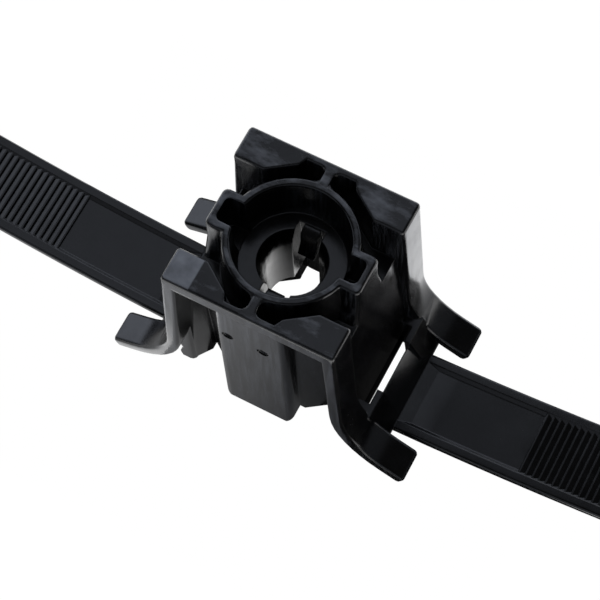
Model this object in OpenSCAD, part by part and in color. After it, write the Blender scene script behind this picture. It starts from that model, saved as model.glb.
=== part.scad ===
// Stand-off cable tie moulded in one piece: a socket that pushes on to a stud,
// four flared feet and two toothed straps.
// The straps run along X, the socket opens towards +Z and the feet stand on z = 0.

/* [Body] */
// Length of the square top along the straps
body_l = 25.8; // [24:0.1:34]
// Width of the square top across the straps
body_w = 25.4; // [24:0.1:34]
// Height from the feet to the top
body_h = 35.3; // [32:0.1:48]
// Radius of the rounded outer edges
edge_r = 0.5; // [0.2:0.05:0.8]

/* [Rails] */
// Thickness of the rails along the top
rail_t = 2.3; // [1.5:0.1:4]
// Width of the wide block at each end of a rail
block_w = 5.2; // [4:0.1:6.5]
// Length of that block before its edge slants away
block_l = 4.6; // [3:0.1:6]
// Width of a rail where it passes a pocket
rim_w = 1.2; // [1:0.1:2]
// Distance from the middle to the step in a pocket's edge
pocket_x = 3.7; // [3:0.1:5]
// Run of that step along the rail
step_l = 0.6; // [0.3:0.1:1.2]
// Depth of that step across the rail
step_w = 1.2; // [0.6:0.1:2]
// Radius of a pocket's inner corners
pocket_r = 1.0; // [0.4:0.1:1.4]
// Thickness of the rib from the ring to each rail
rib_t = 1.25; // [0.8:0.05:2]
// Radius of the fillets between the ring and a rib
rib_r = 1.0; // [0.3:0.1:1.4]

/* [Ring socket] */
// Radius of the socket
socket_r = 8.1; // [7:0.1:9]
// Thickness of the ring around the socket at its rim
ring_t = 1.2; // [0.8:0.1:1.6]
// Growth of the ring's radius towards its foot
ring_flare = 0.6; // [0:0.1:1]
// Depth of the socket's floor below the top
floor_d = 7.1; // [5:0.1:9]
// Radius of the ring's rounded rim
rim_r = 0.4; // [0.2:0.05:0.5]
// Width of the sloping foot of the socket's wall
base_w = 0.65; // [0.3:0.05:1]
// Height of that sloping foot
base_h = 1.5; // [0.5:0.1:2]
// Depth of the notches below the floor
pit_d = 1.4; // [0.6:0.1:1.8]
// Distance from the middle to the end of each ear
ear_x = 11.6; // [10.5:0.1:12]
// Width of an ear
ear_w = 6.1; // [5:0.1:8]
// Spread of an ear towards the floor plate, on each side
ear_flare = 1; // [0:0.1:1.5]
// Wall of an ear at its end
ear_t = 1.0; // [0.5:0.1:1.2]
// Radius of an ear's upright edges
ear_r = 0.8; // [0.3:0.1:1.4]
// Width of the notch inside an ear
notch_w = 3.7; // [2.5:0.1:5]
// Radius of the notch's corners
notch_r = 0.8; // [0.3:0.1:1.2]

/* [Stud hole] */
// Radius of the stud hole
hole_r = 4.1; // [3:0.05:4.6]
// Length of the straight stud hole
hole_l = 12.4; // [9:0.1:18]
// Relief of the hole beside the fingers
relief = 0.1; // [0.05:0.05:0.3]
// Width of the countersunk edge above the hole
sink_w = 0.85; // [0.4:0.05:1.2]
// Depth of the countersunk edge
sink_d = 2.2; // [1:0.1:3]
// Wall around the stud hole
hole_wall = 1.8; // [1.2:0.1:2.4]
// Width of the slot that each finger stands in
key_w = 4.1; // [3.2:0.1:4.6]
// Distance from the middle to the back of that slot
key_y = 5.9; // [5.6:0.1:6.8]
// Lean of that slot's back, in degrees
key_lean = 5; // [0:0.5:8]
// Wall around that slot
key_wall = 1.2; // [0.8:0.1:1.6]
// Gap on each side of a finger
finger_gap = 0.8; // [0.4:0.1:1.2]
// Reach of a finger's tip inside the hole's wall
finger_bite = 0.6; // [0.2:0.1:1]
// Height of a finger
finger_h = 5.4; // [4:0.1:7]
// Thickness of a finger
finger_t = 1.3; // [0.8:0.1:1.6]

/* [Housing] */
// Depth of the floor plate below the top
plate_d = 8.8; // [8:0.1:11]
// Thickness of the floor plate
plate_t = 1.8; // [1.2:0.1:3]
// Wall between the pockets and the recesses outside
skin_t = 0.9; // [0.7:0.1:1.4]
// Set-back of the recesses' slanted wall at the feet
recess_in = 0.9; // [0:0.1:1.2]
// Wall of the hollow underside
wall_t = 1.4; // [1:0.1:2]
// Width of the panel on each long side
panel_w = 11.2; // [9:0.1:13]
// Set-back of that panel from the rail's side
panel_in = 0.35; // [0.2:0.05:0.8]
// Radius of the panel's upright edges
panel_r = 1.3; // [0.5:0.1:1.4]
// Radius of the fillet between the panel and a recess
recess_r = 0.9; // [0.3:0.1:0.9]
// Radius of the panel's lower corners
panel_foot_r = 2.3; // [1:0.1:3]
// Distance from the middle to the end wall at the floor plate
end_x = 11.8; // [11.4:0.1:12.4]
// Lean of the end wall, in degrees
end_lean = 5.3; // [2:0.1:6]
// Half width of the end wall
end_y = 10; // [8.5:0.1:11]
// Diameter of a dimple on the panel
dimple = 1.8; // [1:0.1:2.4]
// Depth of a dimple
dimple_d = 0.3; // [0.1:0.05:0.9]
// Depth of the dimples' centres below the top
dimple_z = 10.6; // [6:0.1:20]
// Distance between the two dimples
dimple_pitch = 5.4; // [3:0.1:7]
// Offset of the pair of dimples from the middle
dimple_off = 0.8; // [0:0.1:1.2]

/* [Legs and feet] */
// Thickness of the legs and feet
leg_t = 2.2; // [1.6:0.1:2.6]
// Lean of the legs, in degrees
leg_lean = 3.1; // [1:0.1:5]
// Inner radius of the bend into the foot
foot_bend_r = 11.5; // [5:0.1:13]
// Slope of the feet, in degrees
foot_slope = 24; // [15:1:35]
// Distance from the middle to the tip of each foot
foot_x = 23.7; // [22.5:0.1:28]
// Spread of the feet beyond the rails' sides
foot_out = 0.5; // [0:0.05:1]
// Gap between a foot and the strap
foot_gap = 1.5; // [0.8:0.1:2]
// Radius of the legs' and feet's edges
foot_edge_r = 0.7; // [0.3:0.05:0.9]

/* [Slots] */
// Room in the slot beside the strap's thickness
slot_clear = 0.3; // [0.2:0.05:0.8]
// Room in the slot on each side of the strap
slot_side = 0.15; // [0.1:0.05:0.5]
// Height of the catch that the strap's teeth run over
catch_z = 3.9; // [3:0.1:6]
// Depth of the groove under the catch
catch_d = 0.45; // [0.2:0.05:0.8]
// Reach of the toe below the catch
toe_l = 0.3; // [0.1:0.05:1]
// Height of the flank from the groove down to the toe
toe_h = 1.8; // [1:0.1:2]
// Height of the toe's end
toe_t = 0.6; // [0.3:0.1:0.8]
// Height of the cross bar's upper edge
bar_z = 6; // [4.5:0.1:8]
// Thickness of the cross bar
bar_t = 1.8; // [1.2:0.1:2.6]
// Half width of the gap between the strap's two guides
guide_y = 4.2; // [3:0.1:5]
// Height of the guides
guide_z = 7.5; // [6:0.1:9]
// Thickness of the guides at their upper edge
guide_t = 0.9; // [0.6:0.1:1.5]

/* [Straps] */
// Width of the straps
strap_w = 13; // [10:0.1:14]
// Thickness of the straps
strap_t = 1.4; // [1.2:0.1:2]
// Distance from the middle to the root of each strap
strap_x = 18.9; // [18:0.1:21]
// Length of each strap from its root
strap_l = 105; // [70:1:200]
// Width of the smooth border on each side
border_w = 2.0; // [1.2:0.1:3]
// Width of the slope from a border down to the panel
slope_w = 0.6; // [0.2:0.1:1]
// Radius of the strap's long edges
strap_edge_r = 0.5; // [0.1:0.05:0.55]
// Depth of the bare panel between the borders
recess_d = 0.45; // [0.2:0.05:0.7]
// Length of the ramp down to that panel
ramp_l = 2.3; // [0.8:0.1:3]
// Distance from the root to the first tooth
tooth_start = 19.8; // [10:0.1:30]
// Distance between the teeth
tooth_pitch = 1.03; // [0.8:0.01:2]
// Depth of the teeth
tooth_d = 0.3; // [0.15:0.05:0.7]
// Length of the flat on each tooth
tooth_land = 0.25; // [0.1:0.05:0.4]
// Set-back of the teeth below the borders
tooth_in = 0.1; // [0:0.05:0.3]
// Upward slope of a strap at its root, in degrees
strap_rise = 4.6; // [0:0.1:8]
// Radius of the strap's gentle curve
curve_r = 250; // [150:10:600]
// Length of that curve
curve_l = 36; // [10:1:60]
// Width of the strap's tip
tip_w = 8; // [5:0.1:10]
// Length of the tapered tip
tip_l = 12; // [6:0.5:20]
// Length of the smooth end without teeth
tail_l = 16; // [10:0.5:30]

/* [Hidden] */
$fn = 64;
nylon_black = [0.09, 0.09, 0.1];

// Overlap that keeps cuts clean, depth of hidden joins, and room below a finger's tip
eps = 0.02;
bury = 0.4;
tip_clear = 0.3;

// Facets along the rounded edges, the legs' bends and the straps' curves
corner_steps = 3;
bend_steps = 8;
curve_steps = 6;

half_l = body_l / 2;
half_w = body_w / 2;
far = body_l + foot_x;

// Levels, measured up from the feet
plate_z = body_h - plate_d;
floor_z = body_h - floor_d;
pit_z = floor_z - pit_d;
sink_z = floor_z - sink_d;
hole_z = sink_z - hole_l;
finger_z = floor_z - finger_h;
relief_z = finger_z - bury - tip_clear;
under_z = plate_z - plate_t;
housing_z = body_h - rail_t + eps;

// Inner edge of a rail, from the rib to the end, as distances from the middle
pocket_y = half_w - rim_w;
block_y = half_w - block_w;
block_x = half_l - block_l;
slant_x = pocket_x + step_l;
slant_y = pocket_y - step_w;
rib_x = rib_t / 2;
ring_r = socket_r + ring_t;
floor_r = socket_r - base_w;
pocket_corner = quarter([rib_x + pocket_r, pocket_y - pocket_r], pocket_r, 180, 90);
rail_edge = concat(
    [[0, ring_r - bury], [rib_x, ring_r - bury]],
    [for (p = pocket_corner) [p.x + eps, p.y]],
    [[pocket_x, pocket_y], [slant_x, slant_y], [block_x, block_y]]);

// Slanted wall outside the pockets
slant = [block_x - slant_x, block_y - slant_y];
slant_n = [-slant.y, slant.x] / norm(slant);
skin_a = [slant_x, slant_y] + skin_t * slant_n;
panel_x = panel_w / 2;
panel_y = half_w - panel_in;

// Place of the slanted wall's outer face at a distance along the rail
function skin_y(x) = skin_a.y + slant.y / slant.x * (x - skin_a.x);
// The same line as seen from inside the hollow underside
function cave_y(x) = skin_y(x) - (wall_t + recess_in) / slant_n.y;

// End wall: its outer face leans out towards the feet
function end_face(z) = end_x + (plate_z - z) * tan(end_lean);
catch_x = end_face(catch_z);
toe_x = catch_x + toe_l;
slot_t = strap_t + slot_clear;
bar_x = toe_x + slot_t;
valley_x = end_x - wall_t;
fill_y = min(block_y, skin_y(valley_x)) - bury;
slot_y = strap_w / 2 + slot_side;

// Legs: straight with a lean, then a bend into the sloping foot
bend_r = foot_bend_r + leg_t / 2;
tip_up = leg_t / 2 * cos(foot_slope) - foot_edge_r * (sin(foot_slope) + cos(foot_slope) - 1);
leg_top = [half_l - leg_t / 2, body_h - edge_r];
bend_turn = 90 - leg_lean - foot_slope;
bend_w = bend_r * (cos(leg_lean) - sin(foot_slope));
bend_h = bend_r * (cos(foot_slope) - sin(leg_lean));
foot_run = (foot_x - leg_top.x - bend_w - (leg_top.y - tip_up - bend_h) * tan(leg_lean))
    / (cos(foot_slope) - sin(foot_slope) * tan(leg_lean));
foot_end = [foot_x, tip_up];
foot_start = foot_end - foot_run * [cos(foot_slope), -sin(foot_slope)];
bend_start = foot_start - [bend_w, -bend_h];
bend_c = bend_start + bend_r * [cos(leg_lean), sin(leg_lean)];
foot_in = strap_w / 2 + foot_gap;

// Back of the slot that a finger stands in
function key_back(z) = key_y + (floor_z - z) * tan(key_lean);

// Straps
tooth_count = floor((strap_l - tail_l - tooth_start) / tooth_pitch);
core_y = strap_w / 2 - border_w;

// A quarter turn or other arc as points
function quarter(c, r, a0, a1, n = corner_steps) =
    [for (i = [0:n]) c + r * [cos(a0 + (a1 - a0) * i / n), sin(a0 + (a1 - a0) * i / n)]];

// A rectangle with rounded corners, counter-clockwise
function soft_box(x0, x1, y0, y1, r) = concat(
    quarter([x1 - r, y1 - r], r, 0, 90),
    quarter([x0 + r, y1 - r], r, 90, 180),
    quarter([x0 + r, y0 + r], r, 180, 270),
    quarter([x1 - r, y0 + r], r, 270, 360));

// How far a rounded edge has drawn in at each of its steps, and how far it is from the end
function draw_in(r, i) = r * (1 - cos(90 * i / corner_steps));
function draw_back(r, i) = r * (1 - sin(90 * i / corner_steps));

// Slope of a strap at a distance along it
function curve_turn(s) = strap_rise + min(s, curve_l) / curve_r * 180 / PI;

// A point of the strap: s along it from the root, h above its underside
function strap_at(s, h) =
    let (
        a = curve_turn(s),
        rest = max(s - curve_l, 0),
        x = strap_x - bury + curve_r * (sin(a) - sin(strap_rise)) + rest * cos(a),
        z = curve_r * (cos(strap_rise) - cos(a)) + rest * sin(a))
    [x - h * sin(a), z + h * cos(a)];

// Stretches along the strap where its sections lie
strap_s = concat([for (i = [0:curve_steps]) curve_l * i / curve_steps], [strap_l]);

// A solid through a row of closed outlines
module loft(rings) {
    n = len(rings[0]);
    m = len(rings);
    sides = [for (k = [0:m - 2]) for (i = [0:n - 1])
        let (j = (i + 1) % n)
        each [[k * n + i, (k + 1) * n + j, k * n + j], [k * n + i, (k + 1) * n + i, (k + 1) * n + j]]];
    first = [for (i = [0:n - 1]) i];
    last = [for (i = [n - 1:-1:0]) (m - 1) * n + i];
    polyhedron([for (r = rings) each r], concat([first], sides, [last]), convexity = 6);
}

// Both halves, or all four corners, of a shape
module twice(v) {
    children();
    mirror(v) children();
}

module four() {
    twice([1, 0, 0]) twice([0, 1, 0]) children();
}

// A side view in X and Z made solid between two distances across the straps
module across(y0, y1) {
    translate([0, y1, 0]) rotate([90, 0, 0]) linear_extrude(y1 - y0) children();
}

// A view in Y and Z made solid to the same distance on both sides of the middle
module along(x) {
    translate([-x, 0, 0]) rotate([90, 0, 90]) linear_extrude(2 * x) children();
}

// The waste outside a rounded edge along Z
module edge_waste(r, l) {
    difference() {
        translate([-r, -r, 0]) cube([r + bury, r + bury, l]);
        translate([-r, -r, -eps]) cylinder(r = r, h = l + 2 * eps);
    }
}

// One section of a rail
function rail_ring(x, low, up, side) =
    let (
        r = edge_r,
        y0 = low + side,
        y1 = half_w - side,
        z1 = body_h - up)
    [for (p = concat(
        [[y1, body_h - rail_t]],
        quarter([y1 - r, z1 - r], r, 0, 90),
        quarter([y0 + r, z1 - r], r, 90, 180),
        [[y0, body_h - rail_t]])) [x, p.x, p.y]];

// Half of a rail: it follows the pocket's edge and its end is rounded off
module rail() {
    inner = [for (p = rail_edge) if (p.x < half_l - edge_r) p];
    rounded = [for (i = [0:corner_steps]) [half_l - draw_back(edge_r, i), draw_in(edge_r, i)]];
    loft(concat(
        [for (p = inner) rail_ring(p.x, p.y, 0, 0)],
        [for (p = rounded) rail_ring(p.x, block_y, p.y, p.y)]));
}

// One section of a leg: its place, the direction of its outer face and how far its rounded end has drawn in
function leg_ring(c, a, in) =
    let (
        f = (leg_top.y - c.y) / (leg_top.y - foot_end.y),
        y0 = block_y + f * (foot_in - block_y) + in,
        y1 = half_w + f * foot_out - in,
        t = leg_t / 2 - in,
        r = max(foot_edge_r - in, eps))
    [for (p = soft_box(y0, y1, -t, t, r)) [c.x + p.y * cos(a), p.x, c.y + p.y * sin(a)]];

// A leg that sweeps out into its foot
module leg() {
    bend = [for (i = [0:bend_steps]) leg_lean + bend_turn * i / bend_steps];
    run = [cos(foot_slope), -sin(foot_slope)];
    rounded = [for (i = [0:corner_steps]) [draw_back(foot_edge_r, i), draw_in(foot_edge_r, i)]];
    loft(concat(
        [leg_ring(leg_top, leg_lean, 0)],
        [for (a = bend) leg_ring(bend_c - bend_r * [cos(a), sin(a)], a, 0)],
        [for (e = rounded) leg_ring(foot_end - e.x * run, 90 - foot_slope, e.y)]));
}

// Plan of the space inside the rails, a quarter of it
function pocket_plan() = concat(
    [[0, 0], [0, ring_r - bury]],
    [for (p = rail_edge) if (p.x >= rib_x) p],
    [[far, block_y], [far, 0]]);

// Plan of the hollow underside, a quarter of it
function cave_plan() =
    let (
        y = panel_y - wall_t,
        x = panel_x - wall_t,
        e = valley_x - wall_t)
    [[0, 0], [0, y], [x, y], [x, min(cave_y(x), y)], [e, cave_y(e)], [e, 0]];

// Plan of the end wall, a quarter of it: its ends stand behind the legs
function end_plan() =
    let (y = skin_y(valley_x))
    concat(
        [[valley_x - wall_t, 0], [valley_x - wall_t, y - wall_t], [valley_x, y]],
        quarter([valley_x + wall_t + skin_t, end_y - skin_t], skin_t, 180, 90),
        [[far, end_y], [far, 0]]);

// Side view of the end wall with the catch and the toe beside the slot
function end_side() = [
    [valley_x - wall_t, plate_z],
    [end_x, plate_z],
    [catch_x, catch_z],
    [catch_x - catch_d, catch_z - catch_d],
    [toe_x, catch_z - catch_d - toe_h],
    [toe_x, catch_z - catch_d - toe_h - toe_t],
    [toe_x - toe_l, eps],
    [valley_x - wall_t, eps]];

// Side view of the hollow behind the end wall
function end_cave() = [
    [valley_x - 2 * wall_t, under_z],
    [valley_x, under_z],
    [end_face(0) - wall_t - catch_d, -eps],
    [valley_x - 2 * wall_t, -eps]];

module end_wall() {
    intersection() {
        linear_extrude(plate_z) polygon(end_plan());
        across(-eps, end_y + bury) polygon(end_side());
    }
}

// Housing below the rails: pocket walls, floor plate and the hollow underside
module housing() {
    difference() {
        union() {
            difference() {
                four() {
                    cube([valley_x - eps, panel_y, housing_z]);
                    end_wall();
                }
                four() recess();
                four() translate([panel_x, panel_y, -eps]) edge_waste(panel_r, body_h);
            }
            four() translate([block_x, fill_y, under_z])
                cube([half_l - leg_t / 2 - block_x, block_y + skin_t - fill_y, housing_z - under_z]);
        }
        four() translate([0, 0, plate_z]) linear_extrude(body_h) polygon(pocket_plan());
        four() translate([0, 0, -eps]) linear_extrude(under_z + eps) polygon(cave_plan());
        twice([1, 0, 0]) across(-cave_y(valley_x - wall_t), cave_y(valley_x - wall_t)) polygon(end_cave());
        four() translate([panel_x, panel_y + bury, 0]) rotate([90, 0, 0]) rotate(-90)
            edge_waste(panel_foot_r, panel_y - skin_y(panel_x + bury) + bury + recess_in / slant_n.y);
        twice([0, 1, 0]) translate([-panel_x, panel_y, 0]) rotate([0, 90, 0]) edge_waste(edge_r, panel_w);
        dimples();
    }
}

// One section of a recess, with its slanted wall drawn back that far and a fillet beside the panel
function recess_ring(z, in) =
    let (
        drop = in / slant_n.y,
        x = panel_x + recess_r,
        c = [x, skin_y(x) - drop + recess_r / slant_n.y])
    [for (p = concat(
        quarter(c, recess_r, 180, 180 + atan2(slant_n.y, slant_n.x)),
        [[valley_x, skin_y(valley_x) - drop], [valley_x, half_w], [panel_x, half_w]])) [p.x, p.y, z]];

// The space of a recess: its slanted wall draws back towards the feet
module recess() {
    loft([recess_ring(-eps, recess_in), recess_ring(plate_z, 0), recess_ring(body_h, 0)]);
}

// The two dimples on the panel of the near side
module dimples() {
    for (side = [-1, 1])
        translate([-dimple_off + side * dimple_pitch / 2, dimple_d - panel_y, body_h - dimple_z])
            rotate([90, 0, 0]) cylinder(d = dimple, h = 2 * dimple_d);
}

// Rounded rim, flared wall and floor of the socket
module ring() {
    rotate_extrude() {
        polygon([
            [0, under_z],
            [ring_r + ring_flare, under_z],
            [ring_r + ring_flare, plate_z],
            [ring_r, body_h - rim_r],
            [ring_r - rim_r, body_h],
            [socket_r + rim_r, body_h],
            [socket_r, body_h - rim_r],
            [socket_r, floor_z + base_h],
            [floor_r, floor_z],
            [0, floor_z]]);
        translate([ring_r - rim_r, body_h - rim_r]) circle(rim_r);
        translate([socket_r + rim_r, body_h - rim_r]) circle(rim_r);
    }
}

// An ear of the ring: a box with rounded edges whose end meets the end wall
module ear() {
    ear_ring = function (z, in, out, side) [for (p = soft_box(socket_r - ear_t + in, ear_x + out - in,
        in - ear_w / 2 - side, ear_w / 2 + side - in, ear_r)) [p.x, p.y, z]];
    rounded = [for (i = [0:corner_steps]) [draw_back(edge_r, i), draw_in(edge_r, i)]];
    loft(concat(
        [for (z = [under_z, plate_z]) ear_ring(z, 0, end_x - ear_x, ear_flare)],
        [ear_ring((plate_z + body_h) / 2, 0, 0, 0)],
        [for (e = rounded) ear_ring(body_h - e.x, e.y, 0, 0)]));
}

// Ribs that tie the ring to the rails, with a fillet on each side
module ribs() {
    x = rib_x + rib_r;
    c = [x, sqrt(pow(ring_r + rib_r, 2) - x * x)];
    side = concat(
        [[c.x * ring_r / (ring_r + rib_r), c.y * ring_r / (ring_r + rib_r) - bury]],
        quarter(c, rib_r, 180 + atan2(c.y, c.x), 180),
        [[rib_x, pocket_y + bury]]);
    twice([0, 1, 0]) translate([0, 0, under_z]) linear_extrude(body_h - rim_r / 2 - under_z)
        polygon(concat(side, [for (i = [len(side) - 1:-1:0]) [-side[i].x, side[i].y]]));
}

// Side view of a finger across the hole: it hangs from the back of its slot and its tip reaches into the hole
module finger() {
    tip_y = hole_r - finger_bite;
    back_y = key_y + bury;
    top_z = floor_z - bury;
    mid_z = (top_z + finger_z) / 2 - bury;
    width = key_w - 2 * finger_gap;
    along(width / 2)
        polygon([
            [back_y, top_z],
            [key_y - bury, top_z],
            [key_y - finger_t, top_z - bury],
            [hole_r + bury, mid_z],
            [tip_y, finger_z],
            [tip_y + bury, finger_z - bury],
            [tip_y + finger_t, finger_z],
            [hole_r + bury + finger_t, mid_z],
            [back_y, top_z - finger_t * 2]]);
}

// Ring, ears and ribs above the floor plate and the walls of the stud hole below it
module socket() {
    ring();
    twice([1, 0, 0]) difference() {
        ear();
        cylinder(r = socket_r + ring_t / 2, h = body_h + bury);
    }
    ribs();
    translate([0, 0, hole_z]) cylinder(r = hole_r + hole_wall, h = plate_z - hole_z);
    twice([0, 1, 0]) along(key_w / 2 + key_wall)
        polygon([
            [0, hole_z],
            [key_back(hole_z) + key_wall, hole_z],
            [key_back(plate_z) + key_wall, plate_z],
            [0, plate_z]]);
}

// Stud hole with its countersunk edge, its relief beside the fingers and their slots
module stud_hole() {
    translate([0, 0, hole_z - eps]) cylinder(r = hole_r, h = hole_l + 2 * eps);
    translate([0, 0, relief_z]) cylinder(r1 = hole_r, r2 = hole_r + relief, h = sink_z - relief_z + eps);
    translate([0, 0, sink_z]) cylinder(r1 = hole_r + relief, r2 = hole_r + sink_w, h = sink_d + eps);
    twice([0, 1, 0]) along(key_w / 2)
        polygon([
            [0, hole_z - eps],
            [key_back(hole_z - eps), hole_z - eps],
            [key_y, floor_z + eps],
            [0, floor_z + eps]]);
}

// Notches inside the ears, open to the socket and deeper than its floor
module notches() {
    end = ear_x - ear_t - notch_r;
    side = notch_w / 2 - notch_r;
    difference() {
        twice([1, 0, 0]) translate([0, 0, pit_z]) linear_extrude(body_h)
            polygon(concat(
                [[0, -notch_w / 2]],
                quarter([end, -side], notch_r, -90, 0),
                quarter([end, side], notch_r, 0, 90),
                [[0, notch_w / 2]]));
        cylinder(r = floor_r, h = body_h);
    }
}

// Bar between the two feet that carries the strap, with a guide and a cheek at each end of the slot
module bar() {
    low_z = bar_z - bar_t * sqrt(2);
    guide_x = end_face(guide_z) + slot_t;
    across(-foot_in - foot_edge_r, foot_in + foot_edge_r)
        polygon([
            [bar_x, bar_z],
            [strap_x, strap_t + bury],
            [strap_x, eps],
            [strap_x - bar_t, eps],
            [bar_x, low_z]]);
    twice([0, 1, 0]) across(guide_y, foot_in + foot_edge_r)
        polygon([
            [guide_x, guide_z],
            [guide_x + guide_t, guide_z],
            [strap_x - eps, strap_t + bury],
            [strap_x - eps, eps],
            [end_face(0) + slot_t, eps]]);
    twice([0, 1, 0]) across(slot_y, foot_in + foot_edge_r)
        polygon([
            [end_face(guide_z) - bury, guide_z],
            [guide_x + bury, guide_z],
            [end_face(0) + slot_t + bury, eps],
            [end_face(0) - bury, eps]]);
}

// Smooth border along one side of a strap, with a slope on its inner side
module border() {
    y0 = core_y;
    y1 = strap_w / 2;
    r = strap_edge_r;
    section = concat(
        [[y0, 0]],
        quarter([y1 - r, r], r, -90, 0),
        quarter([y1 - r, strap_t - r], r, 0, 90),
        [[y0 + slope_w, strap_t], [y0, strap_t - recess_d]]);
    loft([for (s = strap_s) [for (p = section) let (q = strap_at(s, p.y)) [q.x, p.x, q.y]]]);
}

// Middle of a strap: ramp, bare panel, saw teeth and smooth end
module core() {
    low = strap_t - recess_d;
    crest = strap_t - tooth_in;
    gullet = crest - tooth_d;
    teeth = [for (i = [0:tooth_count - 1])
        let (s = tooth_start + i * tooth_pitch)
        each [[s, gullet], [s + eps, crest], [s + tooth_land, crest], [s + tooth_pitch - eps, gullet]]];
    top = concat(
        [[0, strap_t], [bury, strap_t], [bury + ramp_l, low]],
        [for (s = strap_s) if (s > bury + ramp_l && s < tooth_start) [s, low]],
        [[tooth_start, low]],
        teeth,
        [[tooth_start + tooth_count * tooth_pitch, gullet], [strap_l - tail_l, crest], [strap_l, crest]]);
    under = [for (i = [len(strap_s) - 1:-1:0]) [strap_s[i], 0]];
    y = core_y + slope_w;
    across(-y, y) polygon([for (p = concat(top, under)) strap_at(p.x, p.y)]);
}

// A strap with its tapered tip
module strap() {
    tip = strap_at(strap_l, 0);
    difference() {
        union() {
            core();
            twice([0, 1, 0]) border();
        }
        twice([0, 1, 0]) translate([0, 0, -bury]) linear_extrude(far)
            polygon([
                [tip.x - tip_l, strap_w / 2 + eps],
                [tip.x - edge_r, tip_w / 2],
                [tip.x + bury, tip_w / 2 - edge_r],
                [tip.x + bury, strap_w],
                [tip.x - tip_l, strap_w]]);
    }
}

module standoff_tie() {
    color(nylon_black) {
        four() rail();
        four() leg();
        difference() {
            union() {
                housing();
                socket();
            }
            stud_hole();
            notches();
        }
        twice([0, 1, 0]) finger();
        twice([1, 0, 0]) {
            bar();
            strap();
        }
    }
}

standoff_tie();
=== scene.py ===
# %% [markdown]
# A stand-off cable tie, moulded in one shot from black nylon: a ring socket on four swept feet, with a toothed
# strap on each side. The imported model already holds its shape, so this lesson is about what the model lacks:
# shading that runs over its bends, the skin that a steel mould leaves on nylon, and a studio to see them in.

# %% Load the frame and keep its box
import math

import bpy
from mathutils import Matrix, Vector


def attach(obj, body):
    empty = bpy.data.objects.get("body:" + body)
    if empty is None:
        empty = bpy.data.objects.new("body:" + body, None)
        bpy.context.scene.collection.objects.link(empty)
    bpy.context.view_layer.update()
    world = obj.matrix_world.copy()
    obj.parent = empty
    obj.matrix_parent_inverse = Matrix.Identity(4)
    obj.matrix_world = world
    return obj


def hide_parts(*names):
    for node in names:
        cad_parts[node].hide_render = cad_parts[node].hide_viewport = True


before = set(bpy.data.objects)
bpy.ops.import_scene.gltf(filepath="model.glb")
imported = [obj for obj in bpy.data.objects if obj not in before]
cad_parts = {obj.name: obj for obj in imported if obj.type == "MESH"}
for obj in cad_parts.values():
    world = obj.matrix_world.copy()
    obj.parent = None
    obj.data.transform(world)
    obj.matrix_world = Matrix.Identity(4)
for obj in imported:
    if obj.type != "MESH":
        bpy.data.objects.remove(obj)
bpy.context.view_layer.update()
MM = 0.001

# %% [markdown]
# The moulding comes in as loose triangles with hard facets. Smoothing them as they are does nothing, because no two
# of them share a corner. So a copy is welded, and its flat areas lose the lines that the triangles drew across them.

# %% Weld a copy of the moulding
WELD = 0.002 * MM
FLAT = math.radians(0.3)
bpy.ops.object.select_all(action="DESELECT")
tie = bpy.data.objects.new("tie_moulding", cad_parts["standoff_tie"].data.copy())
bpy.context.scene.collection.objects.link(tie)
tie.select_set(True)
bpy.context.view_layer.objects.active = tie
bpy.ops.object.mode_set(mode="EDIT")
bpy.ops.mesh.select_all(action="SELECT")
bpy.ops.mesh.customdata_custom_splitnormals_clear()
bpy.ops.mesh.remove_doubles(threshold=WELD)
bpy.ops.mesh.dissolve_limited(angle_limit=FLAT)
bpy.ops.object.mode_set(mode="OBJECT")
print("welded moulding:", len(tie.data.vertices), "points,", len(tie.data.polygons), "faces")

# %% [markdown]
# Shading can now run smoothly over each bend and stop where two faces meet at a real edge. An angle tells the two
# apart nearly everywhere. The straps' teeth are too shallow for that, so the edges across the straps are marked sharp
# one by one. Weighted normals then keep a large flat face evenly shaded right up to the small bends beside it. The
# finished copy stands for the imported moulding, which stays as it is.

# %% Smooth the bends and keep the edges
SHARP = math.radians(24)
TEETH_FROM = 37 * MM
TOOTH_WIDE = 4 * MM
bpy.ops.object.shade_smooth_by_angle(angle=SHARP)
toothed = 0
for edge in tie.data.edges:
    one, other = (tie.data.vertices[i].co for i in edge.vertices)
    if abs(one.x) > TEETH_FROM and abs(one.y - other.y) > TOOTH_WIDE:
        edge.use_edge_sharp = True
        toothed += 1
bpy.ops.object.modifier_add(type="WEIGHTED_NORMAL")
weigh = tie.modifiers[-1]
weigh.keep_sharp = True
bpy.ops.object.modifier_apply(modifier=weigh.name)
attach(tie, "root")
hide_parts("standoff_tie")
print("sharp over", round(math.degrees(SHARP)), "degrees, and at", toothed, "edges across the straps")

# %% [markdown]
# Nylon 6.6, coloured black through and through, has almost no colour of its own: what the eye reads is the way
# its skin reflects. A polished mould leaves a satin gloss, and the melt, as it fills the mould, leaves broad
# patches that are a little duller. Where a face slides out of the steel it is drawn with fine upright lines.
# A picture of nylon could be wrapped round the tie, but noise in the tie's own coordinates needs no wrapping.

# %% Two helpers for materials
def linear(code):
    """An sRGB hex colour as the linear values that a shader takes."""
    parts = [int(code[i:i + 2], 16) / 255 for i in (1, 3, 5)]
    return [c / 12.92 if c <= 0.04045 else ((c + 0.055) / 1.055) ** 2.4 for c in parts] + [1.0]


def add(tree, kind, settings, links):
    """A node of that kind, with its settings, its socket values and what is plugged into it."""
    made = tree.nodes.new(kind)
    for name, value in settings.items():
        if isinstance(name, int) or name in made.inputs:
            made.inputs[name].default_value = value
        else:
            setattr(made, name, value)
    for name, source in links.items():
        tree.links.new(source, made.inputs[name])
    return made


print("the skin's black in linear values:", [round(value, 5) for value in linear("#080809")])

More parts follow.
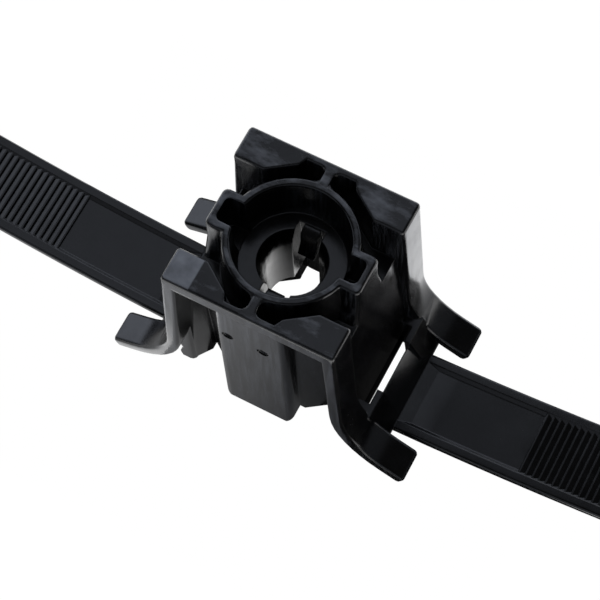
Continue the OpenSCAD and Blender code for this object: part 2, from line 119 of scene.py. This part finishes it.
# %% Moulded black nylon: its patches, grain and draw lines
PATCH = 4 * MM      # broad and a little duller, where the melt cooled against the mould
GRAIN = 0.35 * MM   # fine and even, the mould's own surface
LINE = 0.5 * MM     # upright streaks, drawn by the steel
STRETCH = 20        # how many times as long as wide a streak is
nylon = bpy.data.materials.new("moulded_black_nylon")
nylon.use_nodes = True
tree = nylon.node_tree
tree.nodes.clear()
place = add(tree, "ShaderNodeTexCoord", {}, {}).outputs["Object"]
spots = add(tree, "ShaderNodeSeparateXYZ", {}, {"Vector": place}).outputs
patches = add(tree, "ShaderNodeTexNoise", {"Scale": 1 / PATCH, "Detail": 3.0, "Roughness": 0.6},
              {"Vector": place}).outputs["Fac"]
grain = add(tree, "ShaderNodeTexNoise", {"Scale": 1 / GRAIN, "Detail": 2.0, "Roughness": 0.5},
            {"Vector": place}).outputs["Fac"]
drawn = add(tree, "ShaderNodeMapping", {"vector_type": "POINT", "Scale": (1.0, 1.0, 1 / STRETCH)},
            {"Vector": place}).outputs["Vector"]
lines = add(tree, "ShaderNodeTexNoise", {"Scale": 1 / LINE, "Detail": 2.0, "Roughness": 0.6},
            {"Vector": drawn}).outputs["Fac"]
print("patterns of", [round(size / MM, 2) for size in (PATCH, GRAIN, LINE)], "mm")

# %% Its gloss and its black
# Satin all over, with patches that blur what they mirror a little more, and faint streaks within them
gloss = add(tree, "ShaderNodeMapRange", {"From Min": 0.35, "From Max": 0.7, "To Min": 0.17, "To Max": 0.26},
            {"Value": patches}).outputs["Result"]
drag = add(tree, "ShaderNodeMapRange", {"From Min": 0.3, "From Max": 0.7, "To Min": -0.02, "To Max": 0.02},
           {"Value": lines}).outputs["Result"]
rough = add(tree, "ShaderNodeMath", {"operation": "ADD"}, {0: gloss, 1: drag}).outputs["Value"]
# Black to the eye, and a shade lighter in the patches
black = add(tree, "ShaderNodeMix", {"data_type": "RGBA", 6: linear("#030304"), 7: linear("#080809")},
            {0: patches}).outputs[2]
print("nodes for the bare skin:", len(tree.nodes))

# %% [markdown]
# Ties travel loose in a bag, so the faces that lie uppermost are rubbed pale in smears a few millimetres long. The
# pale grey painted there is partly that wear and partly painted sheen, the light that level tops catch from above.
# A mask finds those faces by how level and how high they are, and noise that is stretched along the rub breaks it
# up. One corner pad is painted palest, up to a straight line across it, with more painted sheen there than wear.

# %% Rub marks and painted sheen on the top
SHEEN_SMEAR = 2.6 * MM
TOP_START, TOP_FULL = 35.1 * MM, 35.25 * MM
facing = add(tree, "ShaderNodeSeparateXYZ", {},
             {"Vector": add(tree, "ShaderNodeNewGeometry", {}, {}).outputs["Normal"]}).outputs
level = add(tree, "ShaderNodeMapRange", {"From Min": 0.96, "From Max": 0.995},
            {"Value": facing["Z"]}).outputs["Result"]
high = add(tree, "ShaderNodeMapRange", {"From Min": TOP_START, "From Max": TOP_FULL},
           {"Value": spots["Z"]}).outputs["Result"]
# Only level faces at the top take the pale grey: wear there, and painted sheen from the light above
on_top = add(tree, "ShaderNodeMath", {"operation": "MULTIPLY"}, {0: level, 1: high}).outputs["Value"]
slid = add(tree, "ShaderNodeMapping",
           {"Scale": (0.45, 1.0, 1.0), "Rotation": (0.0, 0.0, math.radians(20)), "Location": (-5 * MM, 3 * MM, 0.0)},
           {"Vector": place}).outputs["Vector"]
smear_and_sheen = add(tree, "ShaderNodeTexNoise", {"Scale": 1 / SHEEN_SMEAR, "Detail": 4.0, "Roughness": 0.62},
            {"Vector": slid}).outputs["Fac"]
smear_and_sheen = add(tree, "ShaderNodeMapRange", {"From Min": 0.47, "From Max": 0.7, "To Max": 0.45},
            {"Value": smear_and_sheen}).outputs["Result"]
print("rub marks start", round(TOP_START / MM, 2), "mm above the feet")

# %% The corner pad, palest with painted sheen and rub wear
LEFT_START, LEFT_FULL = -8.6 * MM, -8.8 * MM
NEAR_START, NEAR_FULL = -6 * MM, -7 * MM
left = add(tree, "ShaderNodeMapRange", {"From Min": LEFT_START, "From Max": LEFT_FULL},
           {"Value": spots["X"]}).outputs["Result"]
near = add(tree, "ShaderNodeMapRange", {"From Min": NEAR_START, "From Max": NEAR_FULL},
           {"Value": spots["Y"]}).outputs["Result"]
pad_wear_and_sheen = add(tree, "ShaderNodeMath", {"operation": "MULTIPLY"}, {0: left, 1: near}).outputs["Value"]
mottled = add(tree, "ShaderNodeMapRange", {"From Min": 0.35, "From Max": 0.6, "To Min": 0.55},
              {"Value": patches}).outputs["Result"]
pad_wear_and_sheen = add(tree, "ShaderNodeMath", {"operation": "MULTIPLY"}, {0: pad_wear_and_sheen, 1: mottled}).outputs["Value"]
# Rub wear and painted sheen together, in smears and on the corner pad
wear_and_sheen = add(tree, "ShaderNodeMath", {"operation": "MAXIMUM"}, {0: pad_wear_and_sheen, 1: smear_and_sheen}).outputs["Value"]
rubbed_and_sheen = add(tree, "ShaderNodeMath", {"operation": "MULTIPLY"}, {0: on_top, 1: wear_and_sheen}).outputs["Value"]
# Pale grey over the black: rub wear, and painted sheen on the level tops
tint = add(tree, "ShaderNodeMix", {"data_type": "RGBA", 7: linear("#a0a3a8")}, {0: rubbed_and_sheen, 6: black}).outputs[2]
print("nodes with the rub marks:", len(tree.nodes))

# %% [markdown]
# The long side panels slide furthest along the steel when the tie leaves the mould. They keep upright scuffs, a little
# greyer than the skin. The draw lines give the pattern, and only faces that are turned to the long sides take it.

# %% Drag marks on the long sides
turned = add(tree, "ShaderNodeMath", {"operation": "ABSOLUTE"}, {0: facing["Y"]}).outputs["Value"]
sides = add(tree, "ShaderNodeMapRange", {"From Min": 0.75, "From Max": 0.95}, {"Value": turned}).outputs["Result"]
scuff = add(tree, "ShaderNodeMapRange", {"From Min": 0.42, "From Max": 0.68}, {"Value": lines}).outputs["Result"]
scuffed = add(tree, "ShaderNodeMath", {"operation": "MULTIPLY"}, {0: sides, 1: scuff}).outputs["Value"]
# Dark grey streaks that give a plain panel some life
tint = add(tree, "ShaderNodeMix", {"data_type": "RGBA", 7: linear("#313337")}, {0: scuffed, 6: tint}).outputs[2]
print("nodes with rub and drag marks:", len(tree.nodes))

# %% [markdown]
# No moulded edge is quite sharp, and the light that it catches is what shows the form of a black thing. The Bevel node
# rounds the shading of every edge without a new face. Its radius is 0.5 mm on the rims and 0.25 mm lower down, and
# next to nothing on the straps' teeth, which it would wash out.

# %% Soft edges
RIM_SOFT, LOW_SOFT, TOOTH_SOFT = 0.5 * MM, 0.25 * MM, 0.06 * MM
RIM_START, RIM_FULL = 31 * MM, 34 * MM
TOOTH_START, TOOTH_FULL = 36 * MM, 39 * MM
away = add(tree, "ShaderNodeMath", {"operation": "ABSOLUTE"}, {0: spots["X"]}).outputs["Value"]
rims = add(tree, "ShaderNodeMapRange",
           {"From Min": RIM_START, "From Max": RIM_FULL, "To Min": LOW_SOFT, "To Max": RIM_SOFT},
           {"Value": spots["Z"]}).outputs["Result"]
teeth = add(tree, "ShaderNodeMapRange",
            {"From Min": TOOTH_START, "From Max": TOOTH_FULL, "To Min": RIM_SOFT, "To Max": TOOTH_SOFT},
            {"Value": away}).outputs["Result"]
radius = add(tree, "ShaderNodeMath", {"operation": "MINIMUM"}, {0: rims, 1: teeth}).outputs["Value"]
soft = add(tree, "ShaderNodeBevel", {"samples": 8}, {"Radius": radius}).outputs["Normal"]
print("edges softened by", [round(size / MM, 2) for size in (RIM_SOFT, LOW_SOFT, TOOTH_SOFT)], "mm")

# %% The finished skin
NYLON_IOR = 1.53
BUMP = 0.012 * MM
# Streaks and grain are too shallow to be seen as shapes, but they break up the rim of a reflection
waves = add(tree, "ShaderNodeBump", {"Strength": 0.15, "Distance": BUMP},
            {"Height": lines, "Normal": soft}).outputs["Normal"]
skin = add(tree, "ShaderNodeBump", {"Strength": 0.2, "Distance": BUMP},
           {"Height": grain, "Normal": waves}).outputs["Normal"]
shell = add(tree, "ShaderNodeBsdfPrincipled", {"IOR": NYLON_IOR, "distribution": "GGX"},
            {"Base Color": tint, "Roughness": rough, "Normal": skin}).outputs["BSDF"]
add(tree, "ShaderNodeOutputMaterial", {}, {"Surface": shell})
tie.data.materials.clear()
tie.data.materials.append(nylon)
print("material", nylon.name, "has", len(tree.nodes), "nodes")

# %% [markdown]
# The tie lies on a light table: white acrylic that glows from below, as for catalogue pictures. Black plastic
# shows only what it mirrors, and a glow right beside it would grey all its upright faces. So a dark sheet lies on
# the table around the tie as a painted shadow of the tie, and on it some glowing cards, each as bright as the side of
# the tie that mirrors it needs. The camera sees none of these, only the table.

# %% Opal acrylic that glows
def stage_finish(name, colour, glow=0.0):
    """A matt finish that also glows by itself."""
    made = bpy.data.materials.new(name)
    made.use_nodes = True
    made.node_tree.nodes.clear()
    face = add(made.node_tree, "ShaderNodeBsdfPrincipled",
               {"Base Color": linear(colour), "Roughness": 0.9, "Specular IOR Level": 0.0,
                "Emission Color": linear("#ffffff"), "Emission Strength": glow}, {})
    face.name = "face"
    add(made.node_tree, "ShaderNodeOutputMaterial", {}, {"Surface": face.outputs["BSDF"]})
    return made


opal = stage_finish("opal_white_acrylic", "#404040")
# Plain white to the camera, and twice as bright to all that it lights
seen = add(opal.node_tree, "ShaderNodeLightPath", {}, {}).outputs["Is Camera Ray"]
glow = add(opal.node_tree, "ShaderNodeMapRange", {"To Min": 2.0, "To Max": 1.0}, {"Value": seen})
opal.node_tree.links.new(glow.outputs["Result"], opal.node_tree.nodes["face"].inputs["Emission Strength"])
print("material", opal.name, "has", len(opal.node_tree.nodes), "nodes")

# %% Lay the light table
def flat_stage(name, material, wide, deep, spot):
    """A flat piece of the studio's floor, covered with one material."""
    bpy.ops.object.select_all(action="DESELECT")
    bpy.ops.mesh.primitive_plane_add(size=1)
    made = bpy.context.active_object
    made.name = name
    made.scale = (wide, deep, 1)
    made.location = spot
    bpy.ops.object.transform_apply(location=True, rotation=False, scale=True)
    made.data.materials.append(material)
    return made


TABLE = 6.0
table = flat_stage("table", opal, TABLE, TABLE, (0, 0, -0.3 * MM))
print("table:", [round(side, 2) for side in table.dimensions], "m")

# %% Lay the painted shadow and the cards
CARD = "#f0f0f0"
# A near-black sheet that glows just a little: the tie's shadow on the table, painted
painted_shadow_finish = stage_finish("painted_shadow_black", "#080808", 0.02)
lit = stage_finish("lit_opal_spot", CARD)
front = stage_finish("card_in_front", CARD)
behind = stage_finish("card_behind", CARD)
by_foot = stage_finish("card_by_the_foot", CARD)
cards = []
# Name, finish, width, depth and middle in mm; what covers another lies a little higher
# The first two, under the tie and under its straps, are painted shadow
for name, finish, wide, deep, x, y, z in (
        ("painted_shadow_sheet", painted_shadow_finish, 84, 76, 0, 0, -0.2), ("painted_shadow_strip", painted_shadow_finish, 256, 22, 0, 0, -0.15),
        ("table_spot", lit, 11, 14, 4.5, 3, -0.1), ("front_card", front, 84, 37, -28, -26.5, -0.1),
        ("left_card", front, 56, 20, -42, 2, -0.1), ("foot_card", by_foot, 9, 9.5, -21, -16, -0.05),
        ("back_card", behind, 37, 28, 31.5, 30.5, -0.1)):
    card = flat_stage(name, finish, wide * MM, deep * MM, (x * MM, y * MM, z * MM))
    card.visible_camera = False
    cards.append(card)
print("cards:", [(card.name, round(card.dimensions.x / MM)) for card in cards], "mm wide")

# %% Fade the cards into painted shadow and light
# The fades are painted light and shade on the table: those in front and behind fade to the right, where the room is
# dark and the tie's shadow falls, and the two small ones, painted pools of light under the hole and by a foot, fade to
# the front
for finish, axis, bright, dim, start, end in (
        (front, "X", 0.66, 0.03, -34, 9), (behind, "X", 1.4, 0.2, 20, 46), (lit, "Y", 1.4, 0.2, 7, -3),
        (by_foot, "Y", 1.6, 0.5, -16, -20.75)):
    shade = finish.node_tree
    across = add(shade, "ShaderNodeSeparateXYZ", {},
                 {"Vector": add(shade, "ShaderNodeTexCoord", {}, {}).outputs["Object"]}).outputs[axis]
    # Each card's glow falls off along one axis, a painted shadow of the tie beside a painted pool of light
    glow = add(shade, "ShaderNodeMapRange",
               {"From Min": start * MM, "From Max": end * MM, "To Min": bright, "To Max": dim}, {"Value": across})
    shade.links.new(glow.outputs["Result"], shade.nodes["face"].inputs["Emission Strength"])
    print(finish.name, "glows from", bright, "to", dim, "along", axis)

# %% [markdown]
# Soft boxes hang over the tie and behind it. The tops of the tie and its straps mirror the sheets overhead, its edges
# and feet mirror the boxes on the left, and dim walls all round give the other sides something to mirror. A lamp's
# energy is worked out from its area, so that its brightness stays the same when its size changes.

# %% Hang the soft boxes
COOL_WHITE = "#e6eeff"


def soft_box(name, spot, wide, deep, shine):
    """A rectangular lamp that faces the tie and shines with that brightness all over."""
    bpy.ops.object.light_add(type="AREA", location=spot)
    lamp = bpy.context.active_object
    lamp.name = name
    lamp.data.shape = "RECTANGLE"
    lamp.data.size = wide
    lamp.data.size_y = deep
    lamp.data.energy = shine * math.pi * wide * deep
    lamp.data.color = linear(COOL_WHITE)[:3]
    lamp.visible_camera = False
    lamp.rotation_euler = (-Vector(spot)).to_track_quat("-Z", "Y").to_euler()
    return lamp


WALL_WIDE, WALL_TALL = 2.2, 0.8
lamps = [soft_box("sheet_over", (-0.085, 0.3, 1.1), 0.46, 1.0, 0.54),
         soft_box("sheet_left", (-0.43, 0.3, 1.1), 0.22, 1.0, 0.15),
         soft_box("box_corner", (-0.75, 0.5, 0.75), 0.45, 0.5, 1.2),
         soft_box("box_left", (-0.95, 0.32, 0.35), 0.5, 0.35, 1.1),
         soft_box("sheet_back", (-0.2, 1.0, 0.62), 0.9, 0.75, 0.7),
         soft_box("sheet_front", (-0.2, -0.9, 0.7), 0.8, 0.6, 0.12),
         soft_box("wall_left", (-1.2, 0.2, 0.37), WALL_WIDE, WALL_TALL, 0.5),
         soft_box("wall_back", (0.0, 1.2, 0.37), WALL_WIDE, WALL_TALL, 0.8),
         soft_box("wall_right", (1.2, 0.0, 0.37), WALL_WIDE, WALL_TALL, 0.13),
         soft_box("wall_front", (0.0, -1.2, 0.37), WALL_WIDE, WALL_TALL, 0.35)]
print("lamps:", [lamp.name for lamp in lamps])

# %% Dim the room
# The room beyond the lamps is dim, but the camera sees white beyond the table
room = bpy.data.worlds.new("room")
bpy.context.scene.world = room
room.use_nodes = True
sky = room.node_tree.nodes["Background"].inputs
sky["Color"].default_value = linear("#ffffff")
seen = add(room.node_tree, "ShaderNodeLightPath", {}, {}).outputs["Is Camera Ray"]
glow = add(room.node_tree, "ShaderNodeMapRange", {"To Min": 0.04, "To Max": 1.0}, {"Value": seen})
room.node_tree.links.new(glow.outputs["Result"], sky["Strength"])
bpy.context.scene.view_settings.view_transform = "Standard"
print("colours are shown with the", bpy.context.scene.view_settings.view_transform, "view")

# %% [markdown]
# The camera looks down steeply over one corner, with a long lens, and is tipped a little to one side. It is set by
# angles round a point on the tie's top, so each can be changed without the others.

# %% Set up the camera
TURN, RISE, ROLL = math.radians(31.307), math.radians(67.269), math.radians(-3.762)
REACH = 260.47 * MM
TARGET = Vector((5.045, -7.012, 35.3)) * MM
back = Vector((math.sin(TURN) * math.cos(RISE), -math.cos(TURN) * math.cos(RISE), math.sin(RISE)))
side = Vector((math.cos(TURN), math.sin(TURN), 0))
up = back.cross(side)
right = side * math.cos(ROLL) + up * math.sin(ROLL)
above = up * math.cos(ROLL) - side * math.sin(ROLL)
bpy.ops.object.camera_add()
camera = bpy.context.active_object
camera.data.sensor_width = 36.0
camera.data.lens = 120.0
camera.data.clip_start = 0.01
spin = Matrix((right, above, back)).transposed().to_4x4()
camera.matrix_world = Matrix.Translation(TARGET + back * REACH) @ spin
bpy.context.scene.camera = camera
print("camera at", [round(v / MM, 1) for v in camera.matrix_world.translation], "mm")
